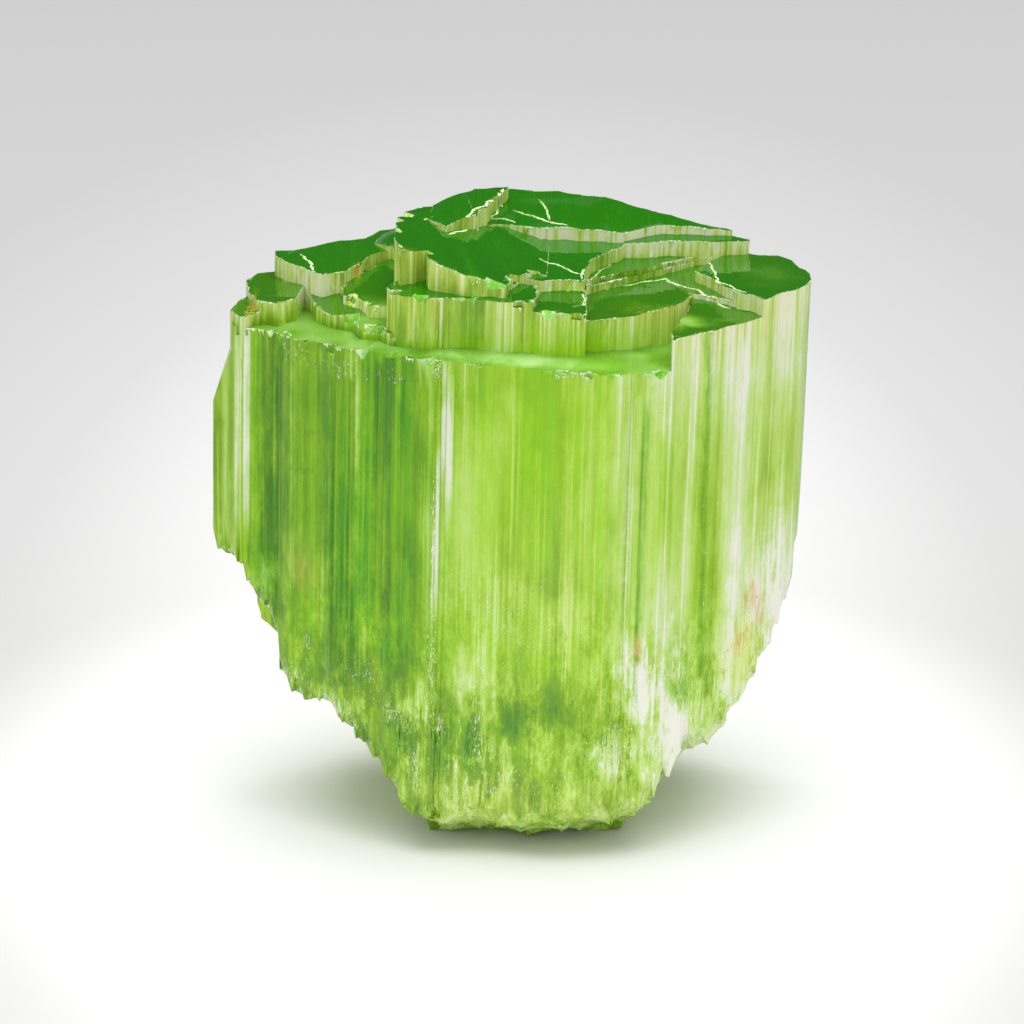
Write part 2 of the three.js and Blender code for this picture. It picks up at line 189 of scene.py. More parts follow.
# Slivers on the front wall: upright x and height, half-spans, slope, how many, and length in mm
PALE_SLIVERS = [
    ((-12.4, 28.6), (1.2, 0.5), -0.1, 40, 0.40),
    ((-9.8, 28.2), (1.6, 0.7), -0.1, 50, 0.45),
    ((-7.2, 28.3), (1.2, 0.4), 0.0, 30, 0.35),
    ((-4.4, 28.9), (0.5, 0.5), 0.0, 60, 0.20),
    ((-4.55, 19.0), (0.16, 5.0), 0.0, 120, 0.50),
    ((-4.6, 11.5), (0.35, 3.6), 0.1, 110, 0.40),
    ((-12.2, 9.4), (0.9, 0.7), -0.2, 60, 0.35),
    ((-9.8, 8.2), (1.4, 0.8), -0.35, 90, 0.30),
    ((-6.6, 8.4), (1.6, 0.9), -0.50, 160, 0.28),
    ((-8.4, 10.6), (1.6, 0.8), -0.30, 70, 0.25),
    ((-11.6, 11.4), (0.3, 1.6), 0.0, 50, 0.40),
    ((-5.4, 5.4), (0.4, 1.8), 0.0, 80, 0.40),
    ((-4.0, 8.2), (0.25, 1.0), 0.0, 50, 0.45),
    ((-2.0, 8.4), (0.3, 2.2), 0.0, 90, 0.40),
    ((-1.8, 11.6), (0.25, 1.2), 0.0, 40, 0.40),
    ((-1.0, 4.6), (2.6, 1.0), 0.2, 110, 0.30),
    ((0.6, 12.4), (2.6, 3.0), 0.0, 120, 0.16),
    ((-0.6, 14.6), (2.2, 1.6), -0.3, 80, 0.18),
    ((1.4, 16.6), (2.2, 1.2), -0.3, 60, 0.15),
    ((5.8, 6.8), (1.0, 2.0), 0.0, 170, 0.45),
    ((7.3, 11.6), (1.2, 1.8), 0.2, 150, 0.32),
    ((9.4, 10.0), (0.15, 2.4), 0.0, 40, 0.40),
    ((6.0, 20.0), (0.3, 6.0), 0.0, 70, 0.60),
    ((7.9, 26.8), (0.8, 0.4), 0.0, 36, 0.15),
    ((9.0, 7.6), (2.2, 0.5), 0.35, 80, 0.22),
    ((11.8, 11.4), (0.12, 2.4), 0.0, 60, 0.30),
    ((12.4, 13.2), (1.2, 0.3), 0.8, 50, 0.22),
    ((13.9, 12.4), (0.5, 2.6), 0.0, 90, 0.35),
    ((14.3, 17.2), (0.25, 2.0), 0.0, 60, 0.35),
    ((11.5, 5.8), (1.0, 0.6), 0.4, 50, 0.22),
    ((10.5, 20.0), (2.4, 6.0), 0.0, 60, 0.25),
]
BRIGHT_SLIVERS = [
    ((2.2, 6.5), (2.2, 0.18), 0.30, 220, 0.20),
    ((4.2, 7.4), (1.2, 0.14), 0.30, 90, 0.16),
    ((0.0, 5.4), (1.0, 0.14), 0.35, 90, 0.18),
    ((2.4, 4.4), (1.6, 1.2), 0.0, 160, 0.30),
    ((-4.6, 2.4), (1.4, 0.6), 0.0, 80, 0.20),
    ((-3.4, 3.4), (1.4, 0.16), 0.20, 50, 0.14),
    ((2.3, 20.5), (2.4, 6.0), 0.0, 150, 0.35),
]
DARK_SLIVERS = [
    ((-12.3, 21.9), (1.0, 0.30), 0.05, 90, 0.16),
    ((-11.6, 24.2), (0.8, 0.20), 0.20, 40, 0.14),
    ((-13.6, 23.0), (0.1, 3.0), 0.0, 16, 0.40),
]
RUST_SLIVERS = [
    ((13.0, 14.2), (0.30, 0.8), 0.1, 60, 0.22),
    ((13.2, 12.6), (0.20, 1.4), 0.2, 50, 0.25),
    ((12.5, 11.6), (0.50, 0.2), 0.5, 40, 0.12),
    ((7.0, 12.4), (0.25, 0.7), 0.1, 40, 0.16),
]

# Veils of tiny healed cracks inside: centre, the two half-spans of the sheet in mm, how much it
# bulges, and how many flakes
VEILS = [
    ((-3.9, -8.2, 24.0), (0.4, 0.5, 0.0), (0.1, 0.0, 5.5), 0.1, 260),
    ((-4.5, -7.8, 14.5), (0.5, 0.9, 0.0), (0.1, 0.2, 5.5), 0.2, 260),
    ((-9.5, -5.2, 8.6), (3.8, -1.6, -0.9), (0.6, 0.8, 1.2), 0.6, 700),
    ((-4.5, -6.6, 6.3), (3.6, -0.9, -1.5), (0.6, 1.2, 1.6), 0.8, 800),
    ((0.4, -6.8, 15.0), (3.6, 0.4, -0.8), (0.4, 1.2, 2.2), 0.9, 900),
    ((3.4, -7.2, 6.2), (4.2, 0.0, 1.1), (0.2, 1.4, 0.9), 0.6, 700),
    ((7.2, -7.2, 11.0), (1.2, 1.0, 0.3), (0.3, 0.4, 3.6), 0.5, 900),
    ((8.6, -5.2, 6.6), (2.8, 0.9, 0.9), (0.3, 0.8, 1.4), 0.5, 700),
    ((12.6, -3.9, 11.2), (1.8, 1.2, 1.0), (0.4, 0.6, 2.4), 0.5, 800),
    ((14.4, -2.6, 16.4), (0.8, 1.0, 0.2), (0.2, 0.3, 2.8), 0.3, 400),
    ((7.9, -7.4, 26.5), (0.9, 0.5, 0.1), (0.1, 0.3, 0.5), 0.2, 120),
    ((10.6, -5.6, 20.5), (1.4, 1.0, 0.0), (0.2, 0.3, 4.5), 0.4, 300),
    ((-12.0, -3.4, 17.5), (2.0, -1.0, 0.2), (0.3, 0.4, 1.4), 0.4, 260),
    ((5.0, 2.0, 14.0), (6.0, 1.5, -1.5), (0.8, 2.0, 4.0), 1.2, 900),
    ((-7.0, 3.0, 15.0), (5.0, -1.0, 1.0), (0.8, 2.0, 4.0), 1.2, 800),
    ((1.0, 5.5, 8.0), (6.0, 0.5, 0.5), (0.5, 1.6, 2.2), 0.8, 800),
    ((12.8, 3.6, 14.0), (1.4, 2.6, 0.5), (0.4, 0.6, 4.0), 0.4, 500),
]

# Where the walls of the head begin and are fully so, mm
HEAD = (29.2, 30.2)
# How far up a face looks: a tread from the first to the second, a nick between the two
TREAD_FACING = (0.70, 0.82)
NICK_FACING = (0.4, 0.76)
NICK_MILK, NICK_SHADE = 0.78, 0.8
SHARP_ANGLE = math.radians(40)

# The crystal's colours
SHADE_GREEN = (0.135, 0.48, 0.01)
LIME_WALL = (0.74, 0.90, 0.20)
LIME_TREAD = (0.34, 0.84, 0.01)
RISER_YELLOW = (0.80, 0.82, 0.22)
IRON_BROWN = (0.78, 0.36, 0.10)
ABSORPTION = (0.83, 0.94, 0.0)
ABSORPTION_DENSITY = 260
INDEX_OF_REFRACTION = 1.62
# From clear to milky
WALL_TONES = [
    (0.0, (0.48, 0.92, 0.01)),
    (0.30, (0.52, 0.90, 0.02)),
    (0.62, (0.60, 0.86, 0.18)),
    (0.80, (0.70, 0.87, 0.40)),
    (0.96, (0.96, 0.96, 0.84)),
]
TREAD_TONES = [
    (0.05, (0.07, 0.72, 0.01)),
    (0.40, (0.24, 0.60, 0.06)),
    (1.0, (0.66, 0.82, 0.44)),
]
# Chips and slivers: darker and lighter colour, metallic, roughness
LOOKS = {
    "veil": ((0.70, 0.82, 0.50), (0.97, 0.98, 0.92), 0.7, 0.45),
    "crumb": ((0.54, 0.74, 0.28), (0.88, 0.93, 0.68), 0.0, 0.5),
    "iron": ((0.55, 0.22, 0.04), (0.85, 0.50, 0.16), 0.6, 0.5),
    "crack": ((0.42, 0.64, 0.22), (0.82, 0.90, 0.62), 0.6, 0.45),
    "bright": ((0.42, 0.78, 0.06), (0.66, 0.94, 0.14), 0.0, 0.4),
    "dark": ((0.06, 0.30, 0.01), (0.12, 0.44, 0.02), 0.0, 0.4),
    "pale": ((0.66, 0.82, 0.42), (0.94, 0.96, 0.84), 0.0, 0.45),
    "rust": ((0.62, 0.24, 0.04), (0.90, 0.54, 0.24), 0.0, 0.5),
}
# The floor's greys, a painted falloff of light away from the crystal, by distance from its
# middle strip, as a share of FLOOR_REACH in mm
FLOOR_REACH = 60.0
FLOOR_PAINTED_FALLOFF = [(0.15, 0.80), (0.35, 0.68), (0.55, 0.56), (0.9, 0.49)]
FLOOR_DEPTH = 40.0  # from here on, in front and behind, the distance counts too
# It is pale near the crystal's foot, painted light that pales the crystal's shadow, and pale
# far off; radii in mm
PALE_FLOOR = (0.88, 0.88, 0.88)
FOOT_PAINTED_LIGHT = (40.0, 20.0)
FLOOR_FAR = (220.0, 900.0)

# The sky's greys from below to above: behind the crystal, and everywhere else
SKY_BAND = [(0.08, 0.66), (0.17, 0.04), (0.56, 0.04), (0.78, 1.0)]
SKY_AROUND = [(0.0, 0.66), (0.6, 0.85)]
SKY_BEHIND = [(0.15, 0.0), (0.5, 1.0)]  # from where the first gives way to the second

# Metres, and watts
FLOOR_SIZE = 30
FLOOR_GAP = 0.00002  # keeps the floor just clear of the resting facet
LAMP_SIZE, LAMP_HEIGHT, LAMP_POWER = 0.5, 0.5, 2.4
# A long lens, looking down at the front
CAMERA_LENS = 140  # mm
CAMERA_ELEVATION = math.radians(20)
CAMERA_DISTANCE = 0.2275
CAMERA_TARGET = (0.00021, -0.0006, 0.0178)

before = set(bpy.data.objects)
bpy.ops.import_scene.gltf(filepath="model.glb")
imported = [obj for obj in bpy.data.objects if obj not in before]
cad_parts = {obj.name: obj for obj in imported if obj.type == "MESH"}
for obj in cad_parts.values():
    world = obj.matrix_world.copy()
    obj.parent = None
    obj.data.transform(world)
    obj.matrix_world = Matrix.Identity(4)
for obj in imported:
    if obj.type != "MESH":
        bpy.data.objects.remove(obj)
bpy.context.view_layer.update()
crystal_low, crystal_high = (np.array(v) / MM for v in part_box(NODE))


# ---------------------------------------------------------------- numbers and noise

def interpolate(values, t):
    """values at whole numbers, read between them with a smooth step."""
    whole = np.floor(t).astype(int)
    part = t - whole
    part = part * part * (3 - 2 * part)
    size = len(values)
    return values[whole % size] * (1 - part) + values[(whole + 1) % size] * part


def noise3(points, scale, seed):
    """Smooth noise from -1 to 1 over points (n, 3) in mm, with features of size scale."""
    table = np.random.default_rng(seed).random((24, 24, 24)) * 2 - 1
    scaled = points / scale
    whole = np.floor(scaled).astype(int)
    part = scaled - whole
    part = part * part * (3 - 2 * part)
    total = np.zeros(len(points))
    for corner in np.ndindex(2, 2, 2):
        index = (whole + corner) % 24
        weight = np.prod(np.where(corner, part, 1 - part), axis=1)
        total += weight * table[index[:, 0], index[:, 1], index[:, 2]]
    return total


def smooth_step(low, high, value):
    t = np.clip((value - low) / (high - low), 0, 1)
    return t * t * (3 - 2 * t)


def unit(vectors):
    return vectors / (np.linalg.norm(vectors, axis=-1, keepdims=True) + 1e-12)


def add_object(name, data):
    thing = bpy.data.objects.new(name, data)
    bpy.context.scene.collection.objects.link(thing)
    return thing


def upright_x(points):
    """X of a point once the prism's lean is taken out."""
    return points[..., 0] - LEAN * points[..., 2]


# ---------------------------------------------------------------- slicing

def choose_cut(low, high):
    """The number, from low to high - 1, of the plane that comes first in everyone's order."""
    bits = np.floor(np.log2(low ^ high)).astype(int)
    return ((high >> bits) << bits) - 1


def crossing_point(a, b, da, db):
    """Where the edge a-b meets the plane, worked out the same from both ends."""
    swap = (a[:, 0] > b[:, 0]) | ((a[:, 0] == b[:, 0]) & (
        (a[:, 1] > b[:, 1]) | ((a[:, 1] == b[:, 1]) & (a[:, 2] > b[:, 2]))))
    a, b = np.where(swap[:, None], b, a), np.where(swap[:, None], a, b)
    da, db = np.where(swap, db, da), np.where(swap, da, db)
    return a + (b - a) * (da / (da - db))[:, None]


def cut_once(soup, distance):
    """Splits each triangle of soup (n, 3, 3) at its own plane; distance is its corners' (n, 3)."""
    on_plane = distance == 0
    has_corner_on = on_plane.any(1)
    positive = (distance > 0).sum(1)
    odd = np.where(positive == 1, (distance > 0).argmax(1), (distance < 0).argmax(1))
    first = np.where(has_corner_on, on_plane.argmax(1), odd)
    order = (first[:, None] + np.arange(3)) % 3
    rows = np.arange(len(soup))[:, None]
    soup, distance = soup[rows, order], distance[rows, order]
    a, b, c = soup[:, 0], soup[:, 1], soup[:, 2]
    whole, halves = ~has_corner_on, has_corner_on
    ab = crossing_point(a[whole], b[whole], distance[whole, 0], distance[whole, 1])
    ac = crossing_point(a[whole], c[whole], distance[whole, 0], distance[whole, 2])
    bc = crossing_point(b[halves], c[halves], distance[halves, 1], distance[halves, 2])
    return np.concatenate([
        np.stack([a[whole], ab, ac], 1),
        np.stack([ab, b[whole], c[whole]], 1),
        np.stack([ab, c[whole], ac], 1),
        np.stack([a[halves], b[halves], bc], 1),
        np.stack([a[halves], bc, c[halves]], 1),
    ])


def slice_at(soup, measure, cuts, eps=1e-5):
    """Splits the triangles of soup wherever measure(points) passes a value in cuts."""
    cuts = np.sort(np.asarray(cuts))
    finished = []
    while len(soup):
        value = measure(soup)
        low = np.searchsorted(cuts, value.min(1) + eps)
        high = np.searchsorted(cuts, value.max(1) - eps)
        crossed = high > low
        finished.append(soup[~crossed])
        soup = soup[crossed]
        if not len(soup):
            break
        cut = cuts[choose_cut(low[crossed], high[crossed])]
        distance = value[crossed] - cut[:, None]
        distance[np.abs(distance) < eps] = 0
        soup = cut_once(soup, distance)
    return np.concatenate(finished)


# ---------------------------------------------------------------- the crystal's surface

def rib_joints(low, high, widths, seed):
    """Irregular positions of the ribs' edges from low to high."""
    random = np.random.default_rng(seed)
    narrow, wide = widths
    joints = [low]
    while joints[-1] < high:
        joints.append(joints[-1] + narrow + (wide - narrow) * random.random() ** 2.4)
    return np.array(joints)


def add_streak_edges(joints, sharp=0.65, gap=0.03):
    """Puts joints at both sides of each streak, a close pair where the streak is sharp."""
    edges = np.array([x for streak in PALE_STREAKS_AND_HIGHLIGHTS + DARK_STREAKS for x in streak[:2]])
    pairs = np.array([x for streak in PALE_STREAKS_AND_HIGHLIGHTS if streak[4] > sharp
                      for x in (streak[0] - gap, streak[1] + gap)])
    edges = np.concatenate([edges, pairs])
    near = np.abs(joints[:, None] - edges).min(1) < 0.1
    return np.unique(np.concatenate([joints[~near], edges]))


def rib_field(joints, levels, seed):
    """Offsets of the rib edges: one row per joint, one column per level of the prism."""
    random = np.random.default_rng(seed)
    steady = random.normal(0, 1, len(joints))
    strength = 0.3 + 0.9 * np.abs(interpolate(random.normal(0, 1, 32), joints / 2.3))
    drift = random.normal(0, 1, (len(joints), levels))
    for _ in range(3):
        drift[:, 1:-1] = (drift[:, :-2] + drift[:, 1:-1] + drift[:, 2:]) / 3
    return RIB_DEPTH * strength[:, None] * (steady[:, None] + 0.8 * drift)


def read_field(field, joints, levels, along, height):
    """The field at (along, height), straight between joints and between levels."""
    i = np.clip(np.searchsorted(joints, along, side="right") - 1, 0, len(joints) - 2)
    u = np.clip((along - joints[i]) / (joints[i + 1] - joints[i]), 0, 1)
    j = np.clip(np.searchsorted(levels, height, side="right") - 1, 0, len(levels) - 2)
    v = np.clip((height - levels[j]) / (levels[j + 1] - levels[j]), 0, 1)
    low = field[i, j] * (1 - u) + field[i + 1, j] * u
    high = field[i, j + 1] * (1 - u) + field[i + 1, j + 1] * u
    return low * (1 - v) + high * v


def crystal_soup():
    """The CAD part's triangles in mm."""
    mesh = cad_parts[NODE].data
    mesh.calc_loop_triangles()
    corners = np.zeros(len(mesh.vertices) * 3)
    mesh.vertices.foreach_get("co", corners)
    triangles = np.zeros(len(mesh.loop_triangles) * 3, int)
    mesh.loop_triangles.foreach_get("vertices", triangles)
    return corners.reshape(-1, 3)[triangles].reshape(-1, 3, 3) / MM


def weld(soup):
    """Points and triangles of a soup, with no triangle that has two corners in one."""
    points, index = np.unique(np.round(soup.reshape(-1, 3), 7), axis=0, return_inverse=True)
    triangles = index.reshape(-1, 3)
    a, b, c = triangles.T
    return points, triangles[(a != b) & (b != c) & (c != a)]


def normals_at(points, triangles):
    corner = points[triangles]
    normal = np.cross(corner[:, 1] - corner[:, 0], corner[:, 2] - corner[:, 0])
    total = np.stack([
        np.bincount(triangles.ravel(), np.repeat(normal[:, k], 3), len(points)) for k in range(3)
    ], 1)
    return unit(total)


def neighbour_pairs(triangles):
    """Both ends of every edge, each edge once from either end in each of its triangles."""
    here, there = triangles.ravel(), np.roll(triangles, 1, axis=1).ravel()
    return np.concatenate([here, there]), np.concatenate([there, here])


def spread(mask, triangles, rounds):
    """mask grown outwards, each point towards the mean of its neighbours."""
    here, there = neighbour_pairs(triangles)
    count = np.bincount(here, minlength=len(mask))
    for _ in range(rounds):
        mask = np.maximum(mask, np.bincount(here, mask[there], len(mask)) / count)
    return mask


def soften(points, triangles, strength, rounds):
    """Rounds off the surface where strength is over 0; near neighbours count for more."""
    here, there = neighbour_pairs(triangles)
    moving = strength[here] > 0
    here, there = here[moving], there[moving]
    count = len(points)
    for _ in range(rounds):
        weight = 1 / (np.linalg.norm(points[there] - points[here], axis=1) + 0.1)
        total = np.bincount(here, weight, count) + 1e-12
        mean = np.stack([np.bincount(here, weight * points[there, k], count) for k in range(3)], 1)
        step = (mean / total[:, None] - points) * 0.7 * strength[:, None]
        points = points + np.where(strength[:, None] > 0, step, 0)
    return points


def in_streak(points, streaks):
    """The strongest of the streaks at each point of the front wall."""
    along, height = upright_x(points), points[:, 2]
    total = np.zeros(len(points))
    for left, right, bottom, top, amount in streaks:
        inside = (along > left - 0.005) & (along < right + 0.005)
        fade = smooth_step(bottom - 1, bottom + 4, height) * smooth_step(top + 0.5, top - 0.5, height)
        total = np.maximum(total, inside * fade * amount)
    return total * (points[:, 1] < 0)


def in_clouds(points, clouds, edge=1.0):
    """The strongest of the clouds at each point, with ragged edges."""
    total = np.zeros(len(points))
    ragged = 0.26 * noise3(points, 1.1, seed=55) + 0.16 * noise3(points, 0.5, seed=56)
    for centre, radii, amount in clouds:
        reach = np.linalg.norm((points - centre) / np.array(radii), axis=1) + ragged
        total = np.maximum(total, amount * smooth_step(edge, 0.2, reach))
    return total


def lay_out_ribs():
    """Where the ribs' edges run along x and y, and the heights at which the ribs change."""
    (x0, y0, z0), (x1, y1, z1) = crystal_low, crystal_high
    joints_x = add_streak_edges(rib_joints(x0 - 2, x1 + 2, FRONT_RIBS, seed=3))
    joints_y = rib_joints(y0 - 1, y1 + 1, END_RIBS, seed=4)
    levels = np.arange(z0 - 1, z1 + 2 * LEVEL_HEIGHT, LEVEL_HEIGHT)
    return joints_x, joints_y, levels


def cut_surface(joints_x, joints_y, levels):
    """The CAD surface as points and triangles, with an edge along every rib and level."""
    upper = levels[(levels > ROOT_HEIGHT) & (levels < LEDGE_HEIGHT)]
    cuts = np.concatenate([np.arange(0.5, ROOT_HEIGHT, ROOT_GRAIN), upper])
    soup = slice_at(crystal_soup(), lambda p: p[..., 2], cuts)
    soup = slice_at(soup, upright_x, joints_x)
    soup = slice_at(soup, lambda p: p[..., 1], joints_y)
    return weld(soup)


def rib_offsets(points, joints_x, joints_y, levels):
    """How far the ribs move each point: the long walls' along y, and the ends' along x."""
    along_x, y, z = upright_x(points), points[:, 1], points[:, 2]
    count = len(levels)
    front = read_field(rib_field(joints_x, count, seed=11), joints_x, levels, along_x, z)
    back = read_field(rib_field(joints_x, count, seed=12), joints_x, levels, along_x, z)
    ends = read_field(rib_field(joints_y, count, seed=13), joints_y, levels, y, z)
    to_back = towards_back(points)
    return front * (1 - to_back) + back * to_back, ends * smooth_step(4, 12, np.abs(points[:, 0]))


def towards_back(points):
    """0 on the front half of the prism, 1 on the back."""
    return smooth_step(-3, 3, points[:, 1])


def broken_faces(points, triangles, normal):
    """1 where the surface faces down, as the broken root does, and a little around it."""
    down = smooth_step(*FACES_DOWN, -normal[:, 2]) * smooth_step(0.0, 0.5, points[:, 2])
    return spread(down, triangles, BREAK_SPREAD)


def wear_root(points, triangles, normal, broken):
    """The points with the broken root rounded off, lumpy and creased, on a level foot."""
    z = points[:, 2]
    foot = smooth_step(*FACES_DOWN, -normal[:, 2]) * smooth_step(6.5, 4.0, z)
    moved = soften(points, triangles, broken, BREAK_ROUNDS)
    moved = soften(moved, triangles, spread(foot, triangles, BREAK_SPREAD), FOOT_ROUNDS)
    moved[z < 0.001, 2] = 0
    off_ground = smooth_step(0.0, 2.0, z)
    lumps = np.stack([
        LUMP[0] * noise3(points * (1, 1, 0.7), LUMP[1], seed=21 + k)
        + FINE_LUMP[0] * noise3(points, FINE_LUMP[1], seed=31 + k)
        for k in range(3)
    ], 1)
    lumpy = np.maximum(broken, 0.7 * smooth_step(15.0, 7.0, z)) * off_ground
    moved += lumps * lumpy[:, None]
    creases = np.abs(noise3(points * (1, 1, 0.8), CREASE, seed=27))
    creases = creases + 0.5 * np.abs(noise3(points, FINE_CREASE, seed=28))
    creases = creases * smooth_step(13.0, 6.0, z) * off_ground
    sideways = unit(normal * (1, 1, 0)) * (np.abs(normal[:, 2:]) < 0.9)
    return moved - CREASE_DEPTH * creases[:, None] * sideways


def wall_values(points, broken):
    """How milky and how shaded the walls are at each point; the milk also holds the front wall's
    painted sheen and painted highlights.
    """
    along_x, z = upright_x(points), points[:, 2]
    to_back = towards_back(points)
    knots, tone_and_sheen, dark = np.array(FRONT_TONES_SHEEN_AND_SHADE).T
    patchy = 1 + 0.6 * noise3(points * (1, 1, 0.3), 2.2, seed=52)
    back_tone = 0.25 + 0.25 * noise3(points * (1, 1, 0.15), 2.8, seed=53)
    # The tones hold painted sheen over the right third of the front wall and painted shade at its right
    # end
    tone_and_sheen = np.interp(along_x, knots, tone_and_sheen) * patchy * (1 - to_back) + back_tone * to_back
    dark = np.interp(along_x, knots, dark) * patchy * (1 - to_back)
    dark = dark * (0.45 + 0.55 * smooth_step(9.0, 21.0, z))
    head = smooth_step(*HEAD, z)
    head_milk = head * (0.48 + 0.22 * noise3(points, 1.3, seed=51))
    clearing = in_clouds(points, CLEARINGS)
    milk_and_sheen = np.maximum.reduce([
        in_streak(points, PALE_STREAKS_AND_HIGHLIGHTS), in_clouds(points, CLOUDS), head_milk, tone_and_sheen, 0.40 * broken,
    ]) * (1 - clearing)
    shade = np.maximum.reduce([in_streak(points, DARK_STREAKS), dark * (1 - head), clearing])
    return milk_and_sheen, shade


def tread_values(points):
    """How milky and how yellow the treads are at each point."""
    z = points[:, 2]
    milk_and_sheen = np.maximum(in_clouds(points, TREAD_CLOUDS), 0.42 * smooth_step(30.6, 29.5, z))
    milk_and_sheen = milk_and_sheen * (1 + 0.45 * noise3(points, 1.2, seed=57))
    lime_and_glow = np.maximum(in_clouds(points, TREAD_LIMES), 0.5 * smooth_step(32.4, 30.0, z))
    return milk_and_sheen, lime_and_glow


def paint(mesh, points, triangles, facing, broken):
    """Stores what the material reads. A face is a tread or isn't, so it is kept at corners."""
    z = points[:, 2]
    at = triangles.ravel()
    level_face = np.repeat(smooth_step(*TREAD_FACING, facing[:, 2]), 3)
    on_tread = level_face > 0.5
    nick = np.repeat((facing[:, 2] > NICK_FACING[0]) & (facing[:, 2] < NICK_FACING[1]), 3)
    milk_and_sheen, shade = wall_values(points, broken)
    tread_milk, tread_lime = tread_values(points)
    crackled = smooth_step(14.0, 8.0, z) * smooth_step(-0.1, 0.5, noise3(points, 3.2, seed=54))
    crackled = np.maximum(crackled, 0.8 * in_clouds(points, CLOUDS))
    for name, values in {
        # The milk holds the front wall's painted sheen and painted highlights too
        "milk_and_sheen": np.select([nick, on_tread], [NICK_MILK, tread_milk[at]], milk_and_sheen[at]),
        "stain": in_clouds(points, STAINS)[at],
        "shade": np.select([nick, on_tread], [NICK_SHADE, 0.0], shade[at]),
        "frost": broken[at],
        # The lime holds painted glow of light passing through the crystal, low down and in the middle
        "lime_and_glow": np.where(on_tread, tread_lime[at], in_clouds(points, LIMES_AND_GLOW)[at]),
        "tread": level_face,
        "riser": np.where(on_tread | nick, 0, smooth_step(*HEAD, z)[at]),
        "low": smooth_step(18.0, 8.0, z)[at],
        "veins": np.where(on_tread, 0, crackled[at]),
    }.items():
        attribute = mesh.attributes.new(name, "FLOAT", "CORNER")
        attribute.data.foreach_set("value", np.clip(values, 0, 1).astype(np.float32))


def build_crystal():
    ribs = lay_out_ribs()
    points, triangles = cut_surface(*ribs)
    normal = normals_at(points, triangles)
    broken = broken_faces(points, triangles, normal)
    moved = wear_root(points, triangles, normal, broken)
    along_y, along_x = rib_offsets(points, *ribs)
    moved[:, 1] += along_y
    moved[:, 0] += along_x
    tread = smooth_step(0.5, 0.9, normal[:, 2])
    swell = SWELL[0] * noise3(points, SWELL[1], seed=41)
    swell = swell + FINE_SWELL[0] * noise3(points, FINE_SWELL[1], seed=42)
    moved[:, 2] = np.maximum(moved[:, 2] + tread * swell, 0)

    mesh = bpy.data.meshes.new("crystal")
    mesh.from_pydata(moved * MM, [], triangles.tolist())
    corner = points[triangles]
    facing = unit(np.cross(corner[:, 1] - corner[:, 0], corner[:, 2] - corner[:, 0]))
    paint(mesh, points, triangles, facing, broken)
    smooth = (broken[triangles].min(1) > 0.5) | (facing[:, 2] > 0.8)
    mesh.polygons.foreach_set("use_smooth", smooth)
    mesh.set_sharp_from_angle(angle=SHARP_ANGLE)
    mesh.update()
    return add_object("crystal", mesh)


# ---------------------------------------------------------------- what is sealed in it

class Flakes:
    """Many small closed chips, gathered into one mesh."""

    CORNERS = np.array([(1, 0, 0), (-0.5, 0.87, 0), (-0.5, -0.87, 0), (0, 0, 1)], float)
    FACES = np.array([(0, 2, 1), (0, 1, 3), (1, 2, 3), (2, 0, 3)])

    def __init__(self, seed):
        self.random = np.random.default_rng(seed)
        self.points, self.faces = [], []
        self.count = 0

    def add(self, centre, across, along, thick, ceiling=math.inf):
        """A chip at centre: across and along span it, thick is its third direction, all mm."""
        corners = self.CORNERS * (1 + self.random.uniform(-0.35, 0.35, (4, 3)))
        corners = corners - corners.mean(0)
        points = centre + corners @ np.array([across, along, thick])
        points[:, 2] = np.minimum(points[:, 2], ceiling)
        self.points.append(points)
        self.faces.append(self.FACES + self.count)
        self.count += 4

    def build(self, name, material):
        mesh = bpy.data.meshes.new(name)
        mesh.from_pydata(np.concatenate(self.points) * MM, [], np.concatenate(self.faces).tolist())
        mesh.update()
        piece = add_object(name, mesh)
        piece.data.materials.append(material)
        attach(piece, "root")
        return piece


def is_inside(tree, point, margin):
    """Whether a point in mm is deeper than margin inside the crystal."""
    start = Vector(point * MM)
    for way in (Vector((0, 0, 1)), Vector((0, -1, 0))):
        hit, normal, _, _ = tree.ray_cast(start, way)
        if hit is None or normal.dot(way) < 0:
            return False
    return tree.find_nearest(start)[3] > margin * MM


def build_veils(tree, material):
    flakes = Flakes(seed=61)
    random = flakes.random
    for number, (centre, first, second, bulge, count) in enumerate(VEILS):
        centre, first, second = np.array(centre), np.array(first), np.array(second)
        normal = unit(np.cross(first, second))
        u, v = random.uniform(-1, 1, (2, count))
        bend = bulge * (1 - u * u) + 0.5 * bulge * v * v
        points = centre + u[:, None] * first + v[:, None] * second + bend[:, None] * normal
        points += normal * (0.25 * noise3(points, 1.6, seed=70 + number))[:, None]
        dense = noise3(points, 1.3, seed=90 + number) + 0.6 * noise3(points, 0.5, seed=120 + number)
        keep = (dense > 0.0) & (u * u + v * v < 1.1)
        for point in points[keep]:
            if not is_inside(tree, point, 0.12):
                continue
            size = 0.03 + 0.16 * random.random() ** 2.5
            tilt = normal + random.normal(0, 0.35, 3)
            across = unit(np.cross(tilt, (0, 0, 1)))
            along = unit(np.cross(tilt, across))
            flakes.add(point, across * size * 0.6, along * size * random.uniform(0.8, 2.6),
                       unit(tilt) * 0.012)
    return flakes.build("healed_veils", material)


